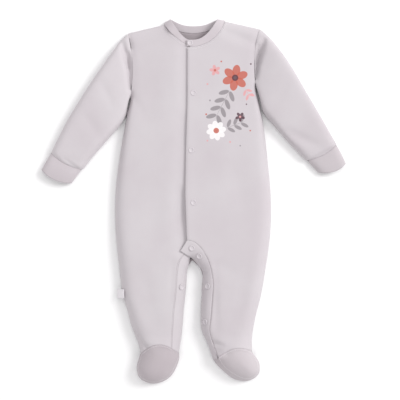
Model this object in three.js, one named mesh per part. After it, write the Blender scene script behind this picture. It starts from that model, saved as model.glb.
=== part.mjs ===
// Footed baby sleepsuit, buttoned up and laid on its back: the cut pieces of its thick jersey as thin
// walls, with the snaps and the bare side label. Millimetres. X runs towards the wearer's left, Y from
// the toes to the neck, and Z up from the surface that the back lies on.
import * as THREE from "three";

// Cloth, seams and edges
const WALL = 1.6;
const NECKBAND_WALL = 1.8;
const SEAM_GAP = 0.35;
const BAND_GAP = 0.75;
const ARCH_GAP = 0.6;
const SEAM_HEIGHT = 4.4;
const ANKLE_SEAM_HEIGHT = 6.5;
const ANKLE_START = -190;
const ANKLE_END = -240;
const BACK_ROUND = 8;

// The valley along each armhole, and the lap of the wearer's left front over the right one
const ARMHOLE_VALLEY = 0.12;
const ARMHOLE_WIDTH = 8;
const FOLD_GAP = 1.05;
const FOLD_REACH = 6;
const SEAT_ROWS = 2;
const LAP_DROP = 2.5;
const LAP_SOFT = 7;
const LAP_MARGIN = 3;
const LAP_FADE_START = 1;
const LAP_FADE = 10;
const LAP_SLACK = { drop: 2.2, soft: 9, y: -20, reach: 45 };
const TAB_SLOPE = -0.66;

// How finely each piece is divided. CROWD draws columns together where an edge turns over, and
// SHOULDER_ROWS are extra rows beside the shoulder seam
const FRONT_COLUMNS = 11;
const BACK_COLUMNS = 8;
const BAND_COLUMNS = 5;
const CAP_COLUMNS = 7;
const NECKBAND_COLUMNS = 3;
const SEAM_STEPS = 4;
const CROWD = 1.8;
const SHOULDER_ROWS = [0.04, 0.16];
const FAR = 5000;

// Sleeves and cuffs
const SLEEVE_ROUND = 12;
const SLEEVE_BACK_ROUND = 9;
const TOP_POINTS = 12;
const UNDER_POINTS = 8;

// Snaps and the side label
const SNAP_RADIUS = 4.75;
const SNAP_SIDES = 14;
const SNAP_SEAT = 0.35;
const SNAP_BASE = 2.5;
const LABEL_WALL = 0.8;

// Colours read off the cloth, its shaded caps and the snaps
const JERSEY = "#d6cfd4";
const CAP_JERSEY = "#cdc3c8";
const RIB_JERSEY = "#d0c8cc";
const SNAP_PEARL = "#ddd8db";
const LABEL_TAPE = "#ece8ea";

// A table's rows become objects with the columns' names
function table(columns, rows) {
  const names = columns.split(" ");
  return rows.map((row) => Object.fromEntries(names.map((name, k) => [name, row[k] ?? 0])));
}

// Height of the upper layer down the middle of torso, legs and feet, and how wide its edges turn over
const HEIGHTS = table("y crown round", [
  [290, 14, 16],
  [250, 16, 13],
  [215, 17, 9],
  [130, 18.5, 8],
  [60, 20, 14],
  [-20, 21, 20],
  [-90, 24, 20],
  [-160, 25, 20],
  [-215, 26, 24],
  [-245, 32, 28],
  [-300, 34, 30],
]);

// Sections of the wearer's right front, from the side seam in to the lap and the inseam band
const FRONT_RIGHT = table("outX outY inX inY bow", [
  [-104.4, 267.7, -47, 281.4],
  [-101.2, 253, -39.4, 270.6],
  [-98.6, 237, -26.6, 259.4],
  [-97, 221, -13.8, 250.4],
  [-96.6, 206.6, 7, 245.9],
  [-97.7, 187.4, 7, 216.2],
  [-99.9, 166.6, 7, 181],
  [-107, 134.6, 7, 142.6],
  [-113, 101, 7, 104.2],
  [-119.4, 62.6, 7, 64.2],
  [-124.2, 21, 7, 22.6],
  [-125.8, -17.4, 7, -17.4],
  [-124.2, -52.6, 5.4, -55.8],
  [-122.6, -71.8, -8.2, -73.4],
  [-121, -87.8, -16.1, -85.6],
  [-119.4, -100.6, -23.6, -97],
  [-117.2, -118.2, -26.3, -113.4],
  [-115.6, -137.4, -27.3, -134.2],
  [-110.8, -158.2, -29.4, -156.6],
  [-105, -177.4, -31.9, -175.8],
  [-100.2, -196.6, -33, -196.6],
  [-93.8, -212.6, -34, -212.6, 2],
  [-88.1, -227, -34.3, -223.8, 7],
  [-84.2, -242.4, -34.6, -233.1, 10.5],
]);

// Sections of the wearer's left front, which laps over the right one
const FRONT_LEFT = table("outX outY inX inY bow", [
  [104.6, 274.6, 50.2, 286.6],
  [100.7, 261, 44.6, 273.8],
  [98.2, 246.6, 34.2, 261],
  [96.6, 230.6, 21.4, 251.7],
  [96.6, 216.2, 5.4, 246.1],
  [97, 199.4, -9.7, 244.3],
  [99.4, 178.9, -9.8, 201.8],
  [106.2, 152.2, -9.8, 161.8],
  [111, 123.4, -10.6, 128.2],
  [115.8, 88.2, -11.9, 91.4],
  [119.3, 53, -12.6, 53],
  [122.8, 14.6, -13.2, 14.6],
  [123.8, -20.6, -11.9, -20.6],
  [122.2, -52.6, -10.4, -61.4],
  [120.9, -65.4, -2.8, -62.1],
  [119, -79.8, 10.5, -71.5],
  [117, -94.2, 21.4, -88.6],
  [114.2, -111.8, 27.8, -107.8],
  [110.5, -134.2, 31, -132.6],
  [106.2, -156.6, 29.4, -156.6],
  [99.1, -182.2, 27.6, -182.2],
  [94.6, -204.6, 25, -204.6, 1],
  [92.7, -222.2, 29.4, -222.2, 5],
  [92.4, -238.6, 38.6, -247.8, 10],
]);

// Sections of the wearer's left inseam band: its tab laps over the right leg at the crotch
const BAND_LEFT = table("seamX seamY edgeX edgeY", [
  [-10.3, -63.7, -20.9, -78.7],
  [-3.6, -62.9, -11.6, -85.3],
  [9.4, -73.1, -1.8, -92.3],
  [19.9, -89.8, 7.6, -103.5],
  [26.6, -108.3, 15, -113.8],
  [30.3, -132.6, 13.4, -134.2],
  [28.7, -156.6, 12.4, -156.6],
  [27, -182.2, 10.8, -182.2],
  [24.4, -204.6, 11.8, -204.6],
  [28.7, -222.2, 20.7, -223],
  [38, -248.2, 30.3, -250.8],
]);
const BAND_LEFT_CROTCH = 2;

// Sections of the wearer's right inseam band, which starts under the tab
const BAND_RIGHT = table("seamX seamY edgeX edgeY", [
  [-13, -83, -5.5, -89.9],
  [-15.4, -86.2, -5.8, -93.3],
  [-22.8, -97.4, -7.1, -100.6],
  [-25.5, -113.4, -10.6, -111.8],
  [-26.5, -134.2, -11.4, -132.6],
  [-28.6, -156.6, -13.5, -155],
  [-31.1, -175.8, -15.9, -175.8],
  [-32.2, -196.6, -17.4, -196.6],
  [-33.2, -214.2, -19, -214.2],
  [-33.7, -233.6, -23.4, -241.4],
]);
const BAND_RIGHT_CROTCH = 1;

// Sections of the back's two halves, from the side seam in to the middle and then to the inner leg
const BACK_RIGHT = table("outX outY inX inY", [
  [-104.4, 267.7, -47, 281.4],
  [-99.9, 245, -34.6, 275],
  [-97, 221, -18.6, 269.6],
  [-96.7, 197, -1, 267],
  [-99.9, 166.6, -1, 222.6],
  [-107, 134.6, -1, 169.8],
  [-113, 101, -1, 123.4],
  [-119.4, 62.6, -1, 78.6],
  [-124.2, 21, -1, 30.6],
  [-125.8, -17.4, -1, -14.2],
  [-124.2, -52.6, -2.2, -55.8],
  [-121, -87.8, -2.2, -93.1],
  [-118.8, -105.4, -8.7, -103.8],
  [-116.6, -126.2, -10.8, -119.8],
  [-112.2, -153.4, -13.4, -153.4],
  [-105, -177.4, -16.1, -177.4],
  [-98.6, -201.4, -17.8, -201.4],
  [-88.7, -225.4, -20.6, -225.4],
  [-84.2, -243, -23.4, -242.1],
]);
const BACK_LEFT = table("outX outY inX inY", [
  [104.6, 274.6, 50.2, 286.6],
  [98.8, 251.4, 33.5, 277],
  [96.6, 225.8, 18.2, 269.6],
  [96.9, 201.8, -1, 267],
  [99.4, 178.9, -1, 222.6],
  [107.8, 142.6, -1, 169.8],
  [114.2, 101, -1, 123.4],
  [118.3, 62.6, -1, 78.6],
  [122.2, 21, -1, 30.6],
  [123.8, -17.4, -1, -14.2],
  [122.2, -52.6, -2.2, -55.8],
  [118, -87.8, -2.2, -93.1],
  [115.1, -105.4, 7.9, -103.8],
  [111.9, -126.2, 14.6, -119.8],
  [106.8, -153.4, 12.6, -153.4],
  [100.4, -177.4, 11.1, -177.4],
  [95.3, -201.4, 11.4, -201.4],
  [92.7, -222.2, 20.7, -223],
  [92.7, -240.5, 30.5, -249.8],
]);
const BACK_NECK_ROW = 3;
const BACK_CROTCH_ROW = 11;
const FRONT_NECK_LEFT = 5;
const FRONT_NECK_RIGHT = 4;
const FRONT_BAND_ROW = 12;
const UNDERARM_ROW = 6;
const BACK_UNDERARM_ROW = 4;

// Sleeve sections from the armhole to the cuff: the upper fold, the lower fold, the height between
// them and how far the middle bows towards the hand
const SLEEVE_RIGHT = table("upX upY lowX lowY crown bow", [
  [-105.8, 266.7, -101.2, 165.3, 12.4, -6],
  [-116.2, 257, -104.3, 152.2, 18, -3],
  [-132.2, 236, -109.1, 131.4, 22, -1],
  [-150.6, 209.8, -125.8, 109.6, 23, 0],
  [-169, 182.6, -140.9, 92.3, 22, 1],
  [-186.6, 154.7, -153, 78.6, 21, 2],
  [-203.3, 126.6, -162.6, 67.7, 20, 3],
  [-216.4, 101, -169.7, 58.4, 19, 4],
  [-224.7, 84.3, -173.8, 53, 18, 5],
  [-227.6, 78.2, -177, 50.4, 14, 5.3],
]);
const SLEEVE_LEFT = table("upX upY lowX lowY crown bow", [
  [105.2, 274.4, 100.6, 177.8, 12.4, -6],
  [117.4, 264.2, 105.1, 161.8, 18, -3],
  [133.4, 247.4, 109.4, 141.8, 22, -1],
  [147.8, 228, 124.7, 123.4, 23, 0],
  [161.5, 206.6, 139.8, 105.4, 22, 1],
  [176.6, 180.2, 154.2, 89.8, 21, 2],
  [191.8, 154.6, 165.4, 78.2, 20, 3],
  [207, 128.2, 173.4, 69.6, 19, 3.5],
  [224.6, 97.1, 177.5, 65.8, 18, 4],
  [228.4, 90.7, 179.8, 64.5, 14, 4.4],
]);
const CUFF_RIGHT = table("upX upY lowX lowY crown bow", [
  [-227.4, 77.3, -178.8, 50.4, 13, 5.3],
  [-233.7, 67, -184.1, 42.7, 14.5, 5.6],
  [-238.5, 58.7, -189.2, 35.4, 14.5, 6.2],
  [-243.1, 50.4, -194.6, 28.3, 13.5, 6.8],
]);
const CUFF_LEFT = table("upX upY lowX lowY crown bow", [
  [228.2, 89.9, 181.5, 64.5, 13, 4.4],
  [233.8, 80.2, 187.8, 56.8, 14.5, 5.4],
  [238.6, 70.6, 192.9, 51.7, 14.5, 6.6],
  [243.1, 60.5, 198.3, 45.9, 13.5, 7.6],
]);

// Stations round each foot: the arched seam at the ankle, the cap's rim with its height, and the
// sole's outline
const FOOT_RIGHT = table("archX rimX rimY rimZ soleX soleY", [
  [-85, -87, -250.9, 8, -87.3, -251.2],
  [-81, -90.3, -263.8, 9, -91.4, -264.5],
  [-73.8, -87.8, -277.6, 9.5, -89, -279.2],
  [-63.4, -76.9, -286.2, 10, -77.8, -288.5],
  [-53.8, -65, -289.4, 10, -65, -291.5],
  [-44.2, -52.2, -287.2, 10, -51.6, -289.4],
  [-34, -37.2, -278.9, 9.5, -36.2, -280.5],
  [-26.6, -27, -260.6, 9, -25.7, -261.6],
  [-22.9, -23.2, -250.9, 8, -22.8, -251.1],
]);
const FOOT_LEFT = table("archX rimX rimY rimZ soleX soleY", [
  [39.6, 40.4, -253.2, 14, 31, -254.4],
  [40.4, 43.6, -258.4, 14.5, 34.4, -258.6],
  [41.5, 48.9, -264.8, 15, 39.8, -264.8],
  [47, 60.4, -273.8, 15, 51.8, -275.7],
  [56.6, 73.5, -280.8, 14, 66.2, -285.1],
  [67.8, 85.4, -284, 12, 82.2, -287.7],
  [78.3, 96.2, -280.8, 10.5, 96.6, -283.4],
  [86, 104.2, -271.5, 10, 106, -272.8],
  [90.8, 103.9, -259.4, 9, 105.8, -259.7],
  [92.2, 98.3, -247.9, 8, 98.6, -247.9],
]);
// Row of the left foot from which its rim is a free edge, and the line of each sole's heel
const RIM_LEFT_START = 0.75;
const ANKLE_RIGHT = { startX: -86, startY: -245.3, endX: -23.1, endY: -244.3 };
const ANKLE_LEFT = { startX: 30.8, startY: -251.4, endX: 93.4, endY: -242.1 };
const SOLE_PROFILE = table("reach z climb", [
  [0, 0, 0],
  [0.3, 0, 0],
  [0.62, 0, 0],
  [0.86, 0, 0],
  [0.955, 1.2, 0],
  [1, 4.6, 0],
  [1, 4.6, 0.5],
  [1, 4.6, 1],
]);

// Stations of the neckband from its lapped end round the back to its end under the lap: the free edge,
// the sewn edge, and how far each is lifted from the surface onto the front
const NECKBAND = table("freeX freeY seamX seamY lift under", [
  [-11.4, 256, -11.1, 246.7, 1],
  [-4.2, 256.6, -3.4, 246.4, 1],
  [6.3, 257.4, 9.2, 248.2, 1],
  [16.2, 262.2, 23, 253.8, 1],
  [24.6, 270.2, 34.2, 262.7, 1],
  [31.3, 279.2, 43.1, 274.4, 1],
  [36.1, 287.2, 48.6, 285, 0.8],
  [38, 290.6, 50.2, 288.3, 0.45],
  [35.1, 288.8, 46, 285.9, 0.1],
  [27.8, 285.3, 33, 277.9, 0],
  [16.6, 281, 17.8, 271.2, 0],
  [-0.4, 279.4, -0.7, 268.2, 0],
  [-15.4, 280.8, -18.2, 270.7, 0],
  [-27.9, 285.9, -33.7, 276.2, 0],
  [-33.7, 288.8, -43.3, 281.8, 0.1],
  [-36.9, 290.6, -48.1, 283.4, 0.45],
  [-35, 286.7, -45.5, 280.2, 0.8],
  [-30.2, 279.2, -38, 271.2, 1],
  [-23.1, 269.3, -25.7, 260.3, 1],
  [-16.4, 262.2, -16.1, 253.4, 1, 1],
  [-6.8, 256.5, -5.8, 250.1, 1, 1],
  [4.7, 256.8, 6, 248.5, 1, 1],
]);

// The lap's edge down the front and round the tab's end
const LAP_EDGE = table("y x", [
  [257.8, -12.2],
  [145.8, -9.8],
  [93, -11.8],
  [27.4, -12.9],
  [1.8, -13.4],
  [-30.2, -11.1],
  [-55.8, -10],
  [-63.8, -11.9],
  [-79, -21.5],
]);

// The largest folds: soft troughs in the upper layer
const FOLDS = table("fromX fromY toX toY depth width", [
  [-98.6, 163.4, -74.6, 134.6, 1.6, 6],
  [99.8, 174.6, 79, 145.8, 1.8, 6],
  [-87.4, -230.2, -68.2, -238.2, 3.2, 4.5],
  [32.6, -233.4, 51.8, -238.2, 3.6, 4.5],
  [31, -243, 37.4, -244.6, 2, 3.5],
  [32.6, -97.4, 61.4, -113.4, 1.4, 6],
  [-28.2, -91, -57, -110.2, 1.2, 6],
  [31, -158.2, 35.8, -206.2, 1.6, 7],
  [-84.2, -158.2, -66.6, -193.4, 0.9, 8],
]);

// A snap's section, with the radius as a share of SNAP_RADIUS
const SNAP_PROFILE = table("radius z", [
  [0, 0],
  [1, 0],
  [1, 0.72],
  [0.84, 1.2],
  [0.66, 1.2],
  [0.55, 0.5],
  [0, 0.5],
]);

// Snaps down the lap, on the tab and on both inseam bands
const SNAPS = table("name x y", [
  ["snap_neck", -5.5, 251.7],
  ["snap_front_1", -0.1, 172.3],
  ["snap_front_2", -3.6, 81],
  ["snap_front_3", -0.1, -2.2],
  ["snap_crotch_1", -2.6, -74.4],
  ["snap_crotch_2", 9.2, -87.2],
  ["snap_leg_left_1", 22.3, -135],
  ["snap_leg_left_2", 18.5, -191.8],
  ["snap_leg_right", -19.3, -136.5],
]);

// The bare label: an upper and a lower line from the leg's edge outwards
const LABEL = table("x z", [
  [-110.8, 19.4],
  [-113.7, 16.2],
  [-117.5, 10.6],
  [-122, 7.2],
]);
const LABEL_TOP = -140;
const LABEL_BOTTOM = -154.7;

const clamp01 = (value) => Math.min(Math.max(value, 0), 1);
const smooth = (value) => clamp01(value) ** 2 * (3 - 2 * clamp01(value));
const quarterRound = (value) => Math.sqrt(1 - (1 - clamp01(value)) ** 2);

// Value of a column at a row number between two rows, with no overshoot at a corner
function along(rows, column, at) {
  const k = Math.min(Math.floor(at), rows.length - 2);
  const f = at - k;
  const value = (i) => rows[i][column];
  const slope = (i) => (i < 0 || i > rows.length - 2 ? null : value(i + 1) - value(i));
  const tangent = (i) => {
    const before = slope(i - 1) ?? slope(i);
    const after = slope(i) ?? slope(i - 1);
    return before * after <= 0 ? 0 : (2 * before * after) / (before + after);
  };
  const [start, end] = [value(k), value(k + 1)];
  const rise = end - start;
  const bend = (1 - f) * (tangent(k) - rise) - f * (tangent(k + 1) - rise);
  return start + rise * f + f * (1 - f) * bend;
}

// Values of all of a table's columns at a row number between two rows
const atRow = (rows, at) =>
  Object.fromEntries(Object.keys(rows[0]).map((name) => [name, along(rows, name, at)]));

// List of what a function gives at even shares from 0 to 1
const evenly = (steps, make) => Array.from({ length: steps + 1 }, (_, k) => make(k / steps));

// Values of a table's other columns at a given y, straight between its rows
function atHeight(rows, y) {
  const last = rows.length - 1;
  const k = Math.max(0, Math.min(last - 1, rows.findIndex((row) => row.y <= y) - 1));
  const below = y < rows[last].y ? last - 1 : k;
  const f = clamp01((rows[below].y - y) / (rows[below].y - rows[below + 1].y));
  const mix = (name) => THREE.MathUtils.lerp(rows[below][name], rows[below + 1][name], f);
  return Object.fromEntries(Object.keys(rows[0]).map((name) => [name, mix(name)]));
}

// Row numbers from one row to another, closer together at the start where a seam turns over
function rowNumbers(from, to, steps, crowdStart = false) {
  const even = evenly(Math.round((to - from) * steps), (share) => from + (to - from) * share);
  return crowdStart ? [from, ...SHOULDER_ROWS.map((row) => from + row), ...even.slice(1)] : even;
}

// Height of a seam above the surface: low along the body, higher at the ankles
function seamHeight(y) {
  const ankle = smooth((ANKLE_START - y) / (ANKLE_START - ANKLE_END));
  return THREE.MathUtils.lerp(SEAM_HEIGHT, ANKLE_SEAM_HEIGHT, ankle);
}

// A line of points along two columns of a table, at the height of its seam
function seamLine(rows, [xName, yName, zName], from = 0, to = rows.length - 1) {
  return rowNumbers(from, to, SEAM_STEPS).map((at) => {
    const y = along(rows, yName, at);
    const z = zName ? along(rows, zName, at) : seamHeight(y);
    return new THREE.Vector3(along(rows, xName, at), y, z);
  });
}

const shoulderSeam = ({ outX, outY, inX, inY }) => [
  new THREE.Vector3(outX, outY, SEAM_HEIGHT),
  new THREE.Vector3(inX, inY, SEAM_HEIGHT),
];
const FREE_EDGES = [
  shoulderSeam(FRONT_RIGHT[0]),
  shoulderSeam(FRONT_LEFT[0]),
  [
    ...seamLine(FRONT_RIGHT, ["outX", "outY"], UNDERARM_ROW),
    ...seamLine(FOOT_RIGHT, ["rimX", "rimY", "rimZ"]),
    ...seamLine(BAND_RIGHT, ["edgeX", "edgeY"], BAND_RIGHT_CROTCH).reverse(),
  ],
  [
    ...seamLine(FRONT_LEFT, ["outX", "outY"], UNDERARM_ROW),
    ...seamLine(FOOT_LEFT, ["rimX", "rimY", "rimZ"], RIM_LEFT_START).reverse(),
  ],
  seamLine(BAND_LEFT, ["edgeX", "edgeY"], BAND_LEFT_CROTCH),
];
const ARMHOLES = [
  seamLine(FRONT_RIGHT, ["outX", "outY"], 0, UNDERARM_ROW),
  seamLine(FRONT_LEFT, ["outX", "outY"], 0, UNDERARM_ROW),
];

// Distance from a point in plan to the nearest of some lines, and that line's height and place there
function nearest(x, y, lines) {
  let found = { distance: Infinity, height: 0, x, y };
  for (const line of lines) {
    for (let k = 1; k < line.length; k += 1) {
      const [a, b] = [line[k - 1], line[k]];
      const [runX, runY] = [b.x - a.x, b.y - a.y];
      const f = clamp01(((x - a.x) * runX + (y - a.y) * runY) / (runX ** 2 + runY ** 2 || 1));
      const [onX, onY] = [a.x + f * runX, a.y + f * runY];
      const distance = Math.hypot(onX - x, onY - y);
      if (distance < found.distance) {
        found = { distance, height: THREE.MathUtils.lerp(a.z, b.z, f), x: onX, y: onY };
      }
    }
  }
  return found;
}

// A seam point drawn up to the line that it is sewn to: a gap from it, towards another point
function besideSeam(x, y, line, towardsX, towardsY, gap) {
  const near = nearest(x, y, [line]);
  const away = new THREE.Vector2(towardsX - near.x, towardsY - near.y).setLength(gap);
  return { x: near.x + away.x, y: near.y + away.y };
}

// Depth of the folds at a point, tapered towards the ends of each one
function foldDepth(x, y) {
  let depth = 0;
  for (const fold of FOLDS) {
    const [runX, runY] = [fold.toX - fold.fromX, fold.toY - fold.fromY];
    const f = clamp01(((x - fold.fromX) * runX + (y - fold.fromY) * runY) / (runX ** 2 + runY ** 2));
    const away = Math.hypot(fold.fromX + f * runX - x, fold.fromY + f * runY - y);
    depth += fold.depth * Math.exp(-((away / fold.width) ** 2));
  }
  return depth;
}

// Height of the upper layer's outside at a point in plan
function topHeight(x, y, onEdge = false) {
  const edge = nearest(x, y, FREE_EDGES);
  if (onEdge) return edge.height;
  const { crown, round } = atHeight(HEIGHTS, y);
  const armhole = nearest(x, y, ARMHOLES).distance;
  const valley = 1 - ARMHOLE_VALLEY * (1 - smooth(armhole / ARMHOLE_WIDTH));
  const rise = (crown - edge.height) * valley - foldDepth(x, y);
  return edge.height + rise * quarterRound(edge.distance / round);
}

// How far the lower layer of the lap lies below the upper one
function lapDrop(x, y) {
  const { x: edgeX } = atHeight(LAP_EDGE, y);
  const slack = Math.exp(-(((y - LAP_SLACK.y) / LAP_SLACK.reach) ** 2));
  const soft = LAP_SOFT + LAP_SLACK.soft * slack;
  const tab = LAP_EDGE[LAP_EDGE.length - 1];
  const tabLower = tab.y + Math.max(0, x - tab.x) * TAB_SLOPE;
  const fade = 1 - smooth((tabLower - LAP_FADE_START - y) / LAP_FADE);
  const step = smooth((x - edgeX + soft + LAP_MARGIN) / soft);
  return (LAP_DROP + LAP_SLACK.drop * slack) * step * fade;
}

const lowerHeight = (x, y, onEdge = false) => topHeight(x, y, onEdge) - (onEdge ? 0 : lapDrop(x, y));

// Height of the back's underside: flat on the surface, turned up at its seams
function underHeight(x, y, onEdge = false) {
  const edge = nearest(x, y, FREE_EDGES);
  const turn = onEdge ? 0 : quarterRound(edge.distance / BACK_ROUND);
  return Math.max(0, (edge.height - SEAM_GAP) * (1 - turn));
}

// A panel's points: rows between two edge lines, columns crowded towards the edge that turns over.
// onEdge says which points lie on a seam that turns over
function panel(rows, [fromX, fromY, toX, toY], { at, columns, crowd, height, onEdge }) {
  return at.map((row) => {
    const station = atRow(rows, row);
    return evenly(columns, (share) => {
      const f = crowd > 0 ? share ** crowd : 1 - (1 - share) ** -crowd;
      const bow = (station.bow ?? 0) * 4 * f * (1 - f);
      const x = THREE.MathUtils.lerp(station[fromX], station[toX], f);
      const y = THREE.MathUtils.lerp(station[fromY], station[toY], f) + bow;
      const level = onEdge(row, share);
      return { x, y, z: height(x, y, level), level };
    });
  });
}

// A tube's points: rings between an upper and a lower fold, over the top and back along the underside
function tube(rows, at, axis) {
  const ring = (row) => {
    const { upX, upY, lowX, lowY, crown, bow } = atRow(rows, row);
    const width = Math.hypot(upX - lowX, upY - lowY);
    const point = (f, under) => {
      const fromFold = Math.min(f, 1 - f) * width;
      const out = bow * 4 * f * (1 - f);
      const rise = (crown - SEAM_HEIGHT) * quarterRound(fromFold / SLEEVE_ROUND);
      const fall = SEAM_HEIGHT * quarterRound(fromFold / SLEEVE_BACK_ROUND);
      return {
        x: THREE.MathUtils.lerp(upX, lowX, f) + out * axis.x,
        y: THREE.MathUtils.lerp(upY, lowY, f) + out * axis.y,
        z: SEAM_HEIGHT + (under ? -fall : rise),
      };
    };
    const fraction = (k, count) => (1 - Math.cos((Math.PI * k) / count)) / 2;
    const over = Array.from({ length: TOP_POINTS }, (_, k) => point(fraction(k, TOP_POINTS), false));
    const back = Array.from({ length: UNDER_POINTS }, (_, k) =>
      point(1 - fraction(k, UNDER_POINTS), true),
    );
    return [...over, ...back];
  };
  return at.map(ring);
}

// X of a line at a given y, where the line runs downwards
function lineX(line, y) {
  const k = Math.max(1, Math.min(line.length - 1, line.findIndex((point) => point.y <= y)));
  const f = clamp01((line[k - 1].y - y) / (line[k - 1].y - line[k].y));
  return THREE.MathUtils.lerp(line[k - 1].x, line[k].x, f);
}

// Draws a sleeve's first rings up to the armhole's edges, over the top and along the underside
function seatInArmhole(rings, at, { over, under, outwards }) {
  const [up, low] = [rings[0][0], rings[0][TOP_POINTS]];
  const shifts = rings[0].map((point, k) => {
    const onTop = k < TOP_POINTS;
    const fromFold = Math.min(up.y - point.y, point.y - low.y);
    const gap = SEAM_GAP + FOLD_GAP * (1 - quarterRound(fromFold / FOLD_REACH));
    const x = lineX(onTop ? over : under, point.y) + outwards * gap;
    const z = onTop ? topHeight(x, point.y) : underHeight(x, point.y);
    return { x: x - point.x, z: fromFold > 0 ? z - point.z : 0 };
  });
  return rings.map((ring, r) => {
    const share = 1 - smooth(at[r] / SEAT_ROWS);
    return ring.map(({ x, y, z }, k) => ({ x: x + shifts[k].x * share, y, z: z + shifts[k].z * share }));
  });
}

// Quads over a grid of points, with shared points for equal places
function weave(grids, wrap = false) {
  const points = [];
  const places = new Map();
  const number = (point) => {
    const key = [point.x, point.y, point.z].map((v) => Math.round(v * 1000)).join();
    if (!places.has(key)) places.set(key, points.push(point) - 1);
    return places.get(key);
  };
  const quads = grids.flatMap(({ grid, turned }) => {
    const numbers = grid.map((row) => row.map(number));
    const found = [];
    for (let r = 1; r < numbers.length; r += 1) {
      const width = numbers[r].length;
      for (let c = wrap ? 0 : 1; c < width; c += 1) {
        const before = (c - 1 + width) % width;
        const quad = [numbers[r - 1][before], numbers[r - 1][c], numbers[r][c], numbers[r][before]];
        found.push(turned ? quad.reverse() : quad);
      }
    }
    return found;
  });
  return { points, quads };
}

// Triangles of a quad, cut along its shorter diagonal, without any that has no area
function triangles(quad, points) {
  const [a, b, c, d] = quad;
  const span = (p, q) => Math.hypot(points[p].x - points[q].x, points[p].y - points[q].y,
    points[p].z - points[q].z);
  const cut = span(a, c) <= span(b, d) ? [[a, b, c], [a, c, d]] : [[a, b, d], [b, c, d]];
  return cut.filter((t) => new Set(t).size === 3);
}

// A closed wall of cloth: the outside through the points, the inside a wall's thickness away from it,
// and a rim round every open edge. The outside looks away from the point `inside`
function clothWall({ points, quads }, inside, wall = WALL) {
  const vectors = points.map((p) => new THREE.Vector3(p.x, p.y, p.z));
  let faces = quads.flatMap((quad) => triangles(quad, points));
  const normalOf = ([a, b, c]) =>
    vectors[b].clone().sub(vectors[a]).cross(vectors[c].clone().sub(vectors[a]));
  const outwards = faces.reduce(
    (sum, face) => sum + normalOf(face).dot(vectors[face[0]].clone().sub(inside)), 0);
  if (outwards < 0) faces = faces.map(([a, b, c]) => [a, c, b]);
  const normals = vectors.map(() => new THREE.Vector3());
  for (const face of faces) {
    const normal = normalOf(face);
    for (const corner of face) normals[corner].add(normal);
  }
  const inner = vectors.map((vector, k) => {
    const normal = normals[k];
    if (points[k].level) normal.z = 0;
    return vector.clone().addScaledVector(normal.normalize(), -wall);
  });
  const count = vectors.length;
  const edges = new Set(faces.flatMap(([a, b, c]) => [`${a} ${b}`, `${b} ${c}`, `${c} ${a}`]));
  const rim = [...edges].flatMap((edge) => {
    const [a, b] = edge.split(" ").map(Number);
    return edges.has(`${b} ${a}`) ? [] : [[b, a, a + count], [b, a + count, b + count]];
  });
  const back = faces.map(([a, b, c]) => [a + count, c + count, b + count]);
  const geometry = new THREE.BufferGeometry().setFromPoints([...vectors, ...inner]);
  geometry.setIndex([...faces, ...back, ...rim].flat());
  geometry.computeVertexNormals();
  return geometry;
}

const sleepsuit = new THREE.Group();

function addPiece(name, geometry, color, { roughness = 0.95, metalness = 0 } = {}) {
  const mesh = new THREE.Mesh(geometry, new THREE.MeshStandardMaterial({ color, roughness, metalness }));
  mesh.name = name;
  sleepsuit.add(mesh);
  return mesh;
}

const FAR_BELOW = new THREE.Vector3(0, 0, -FAR);
const FAR_ABOVE = new THREE.Vector3(0, 0, FAR);

// Fronts: the side seam and the shoulder seam turn over, the lap and the band's seam don't
const turnsOver = (row, share) => (share === 0 && row >= UNDERARM_ROW) || row === 0;
function addFront(name, rows, height) {
  const grid = panel(rows, ["outX", "outY", "inX", "inY"], {
    at: rowNumbers(0, rows.length - 1, 2, true),
    columns: FRONT_COLUMNS,
    crowd: CROWD,
    height,
    onEdge: turnsOver,
  });
  addPiece(name, clothWall(weave([{ grid }]), FAR_BELOW), JERSEY);
}
addFront("front_right", FRONT_RIGHT, lowerHeight);
addFront("front_left", FRONT_LEFT, topHeight);

// Inseam bands: the free edge turns over down to the back's seam
function addBand(name, rows, firstEdgeRow, front, height) {
  const frontEdge = seamLine(front, ["inX", "inY"], FRONT_BAND_ROW);
  const at = rowNumbers(0, rows.length - 1, 2);
  const stations = at.map((row) => {
    const { seamX, seamY, edgeX, edgeY } = atRow(rows, row);
    const seam = besideSeam(seamX, seamY, frontEdge, edgeX, edgeY, BAND_GAP);
    return { seamX: seam.x, seamY: seam.y, edgeX, edgeY };
  });
  const grid = panel(stations, ["seamX", "seamY", "edgeX", "edgeY"], {
    at: rowNumbers(0, stations.length - 1, 1),
    columns: BAND_COLUMNS,
    crowd: -CROWD,
    height,
    onEdge: (number, share) => share === 1 && at[number] >= firstEdgeRow,
  });
  addPiece(name, clothWall(weave([{ grid }]), FAR_BELOW), JERSEY);
}
addBand("inseam_band_left", BAND_LEFT, BAND_LEFT_CROTCH, FRONT_LEFT, topHeight);
addBand("inseam_band_right", BAND_RIGHT, BAND_RIGHT_CROTCH, FRONT_RIGHT, lowerHeight);

// Back: two halves with one middle line, parted below the crotch
function backHalf(rows, turned) {
  const grid = panel(rows, ["outX", "outY", "inX", "inY"], {
    at: rowNumbers(0, rows.length - 1, 2),
    columns: BACK_COLUMNS,
    crowd: CROWD,
    height: underHeight,
    onEdge: (row, share) =>
      (share === 0 && row > BACK_NECK_ROW) || row === 0 || (share === 1 && row >= BACK_CROTCH_ROW),
  });
  return { grid, turned };
}
const back = weave([backHalf(BACK_RIGHT, false), backHalf(BACK_LEFT, true)]);
addPiece("back", clothWall(back, FAR_ABOVE), JERSEY);

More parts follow.
